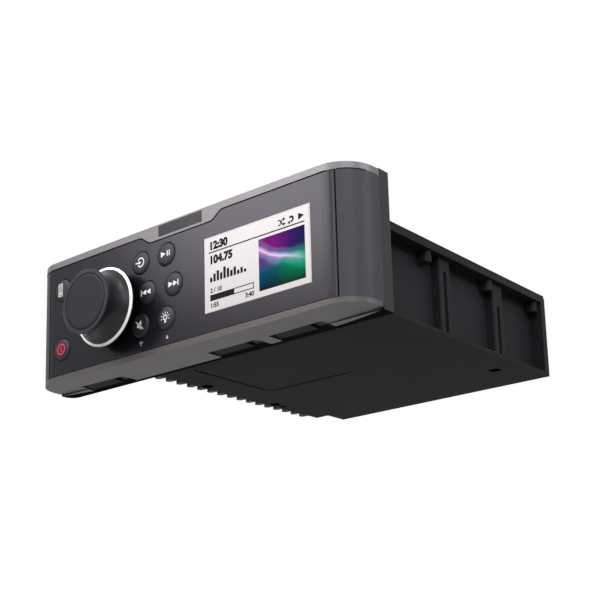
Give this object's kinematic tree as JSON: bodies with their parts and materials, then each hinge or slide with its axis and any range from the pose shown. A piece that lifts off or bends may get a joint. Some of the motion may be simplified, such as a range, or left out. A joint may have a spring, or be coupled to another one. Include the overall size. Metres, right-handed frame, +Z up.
{
  "type": "marine stereo",
  "caption": "Flush-mount marine stereo: fascia that hinges open, rotary push knob, round buttons, colour display, silver trims, finned heat-sink chassis.",
  "frame": {"origin": "middle of the overall box in plan, at the underside", "axes": "+X to the right seen from the front, +Y to the back, away from the listener, +Z up"},
  "size_m": [0.201, 0.1912, 0.0624],
  "materials": {
    "chassis_black": "satin black coating, fine texture",
    "sink": "black anodised",
    "charcoal": "satin charcoal moulding",
    "gloss_black": "polished black",
    "button_black": "satin, with white symbols",
    "knob_black": "satin",
    "socket_black": "satin",
    "silver": "metallic silver lacquer",
    "silver_dark": "dark metallic lacquer",
    "steel": "plated",
    "lens": "clear window",
    "foam": "closed-cell foam",
    "seal": "soft",
    "board": "solder resist",
    "coil": "enamelled windings"
  },
  "bodies": {
    "chassis": {"mount_flange": "chassis_black", "flange_foam": "foam", "bezel": "charcoal", "trim_top": "silver", "name_plate": "gloss_black", "trim_bottom": "silver", "door_catches": "steel", "bay_seal": "seal", "base_plate": "chassis_black", "top_cover": "chassis_black", "side_frame": "chassis_black", "heat_sink": "sink", "rear_panel": "chassis_black", "power_socket": "socket_black", "speaker_socket": "socket_black", "line_jacks": "socket_black", "usb_socket": "steel", "network_socket": "socket_black", "media_bay": "charcoal", "bay_socket": "socket_black", "main_board": "board", "board_pillars": "steel", "amplifier_chips": "socket_black", "capacitors": "socket_black", "filter_coil": "coil", "tuner_can": "steel", "case_screws": "steel", "flange_screws": "steel", "rear_screws": "steel", "corner_blocks": "steel"},
    "door": {"door": "charcoal", "hinge_pins": "steel", "door_back": "charcoal", "door_screws": "steel", "display_lens": "lens", "display_module": "gloss_black", "door_board": "board", "key_switches": "gloss_black", "knob_collar": "gloss_black", "encoder": "steel", "catch_plates": "steel"},
    "plunger": {"encoder_plunger": "steel"},
    "knob": {"knob": "knob_black", "knob_ring": "silver", "knob_cap": "silver_dark", "encoder_shaft": "steel"},
    "button_source": {"button_source": "button_black"},
    "button_play": {"button_play": "button_black"},
    "button_previous": {"button_previous": "button_black"},
    "button_next": {"button_next": "button_black"},
    "button_mute": {"button_mute": "button_black"},
    "button_lamp": {"button_lamp": "button_black"},
    "button_power": {"button_power": "button_black"},
    "button_open": {"button_open": "button_black"}
  },
  "joints": [
    {"name": "door_hinge", "type": "hinge", "parent": "chassis", "child": "door", "pos_m": [0.0876, -0.07197, 0.031], "axis": [0, 0, 1], "range_deg": [0, 90]},
    {"name": "knob_press", "type": "slide", "parent": "door", "child": "plunger", "axis": [0, 1, 0], "range_m": [0, 0.0006], "stiffness_N_per_m": 3000, "springref_m": -0.0006},
    {"name": "knob_turn", "type": "hinge", "parent": "plunger", "child": "knob", "pos_m": [-0.0394, -0.07895, 0.027], "axis": [0, 1, 0], "continuous": true},
    {"name": "button_source_press", "type": "slide", "parent": "door", "child": "button_source", "axis": [0, 1, 0], "range_m": [0, 0.0006], "stiffness_N_per_m": 2500, "springref_m": -0.0006},
    {"name": "button_play_press", "type": "slide", "parent": "door", "child": "button_play", "axis": [0, 1, 0], "range_m": [0, 0.0006], "stiffness_N_per_m": 2500, "springref_m": -0.0006},
    {"name": "button_previous_press", "type": "slide", "parent": "door", "child": "button_previous", "axis": [0, 1, 0], "range_m": [0, 0.0006], "stiffness_N_per_m": 2500, "springref_m": -0.0006},
    {"name": "button_next_press", "type": "slide", "parent": "door", "child": "button_next", "axis": [0, 1, 0], "range_m": [0, 0.0006], "stiffness_N_per_m": 2500, "springref_m": -0.0006},
    {"name": "button_mute_press", "type": "slide", "parent": "door", "child": "button_mute", "axis": [0, 1, 0], "range_m": [0, 0.0006], "stiffness_N_per_m": 2500, "springref_m": -0.0006},
    {"name": "button_lamp_press", "type": "slide", "parent": "door", "child": "button_lamp", "axis": [0, 1, 0], "range_m": [0, 0.0006], "stiffness_N_per_m": 2500, "springref_m": -0.0006},
    {"name": "button_power_press", "type": "slide", "parent": "door", "child": "button_power", "axis": [0, 1, 0], "range_m": [0, 0.0006], "stiffness_N_per_m": 2500, "springref_m": -0.0006},
    {"name": "button_open_press", "type": "slide", "parent": "door", "child": "button_open", "axis": [0, 1, 0], "range_m": [0, 0.0006], "stiffness_N_per_m": 2500, "springref_m": -0.0006}
  ]
}
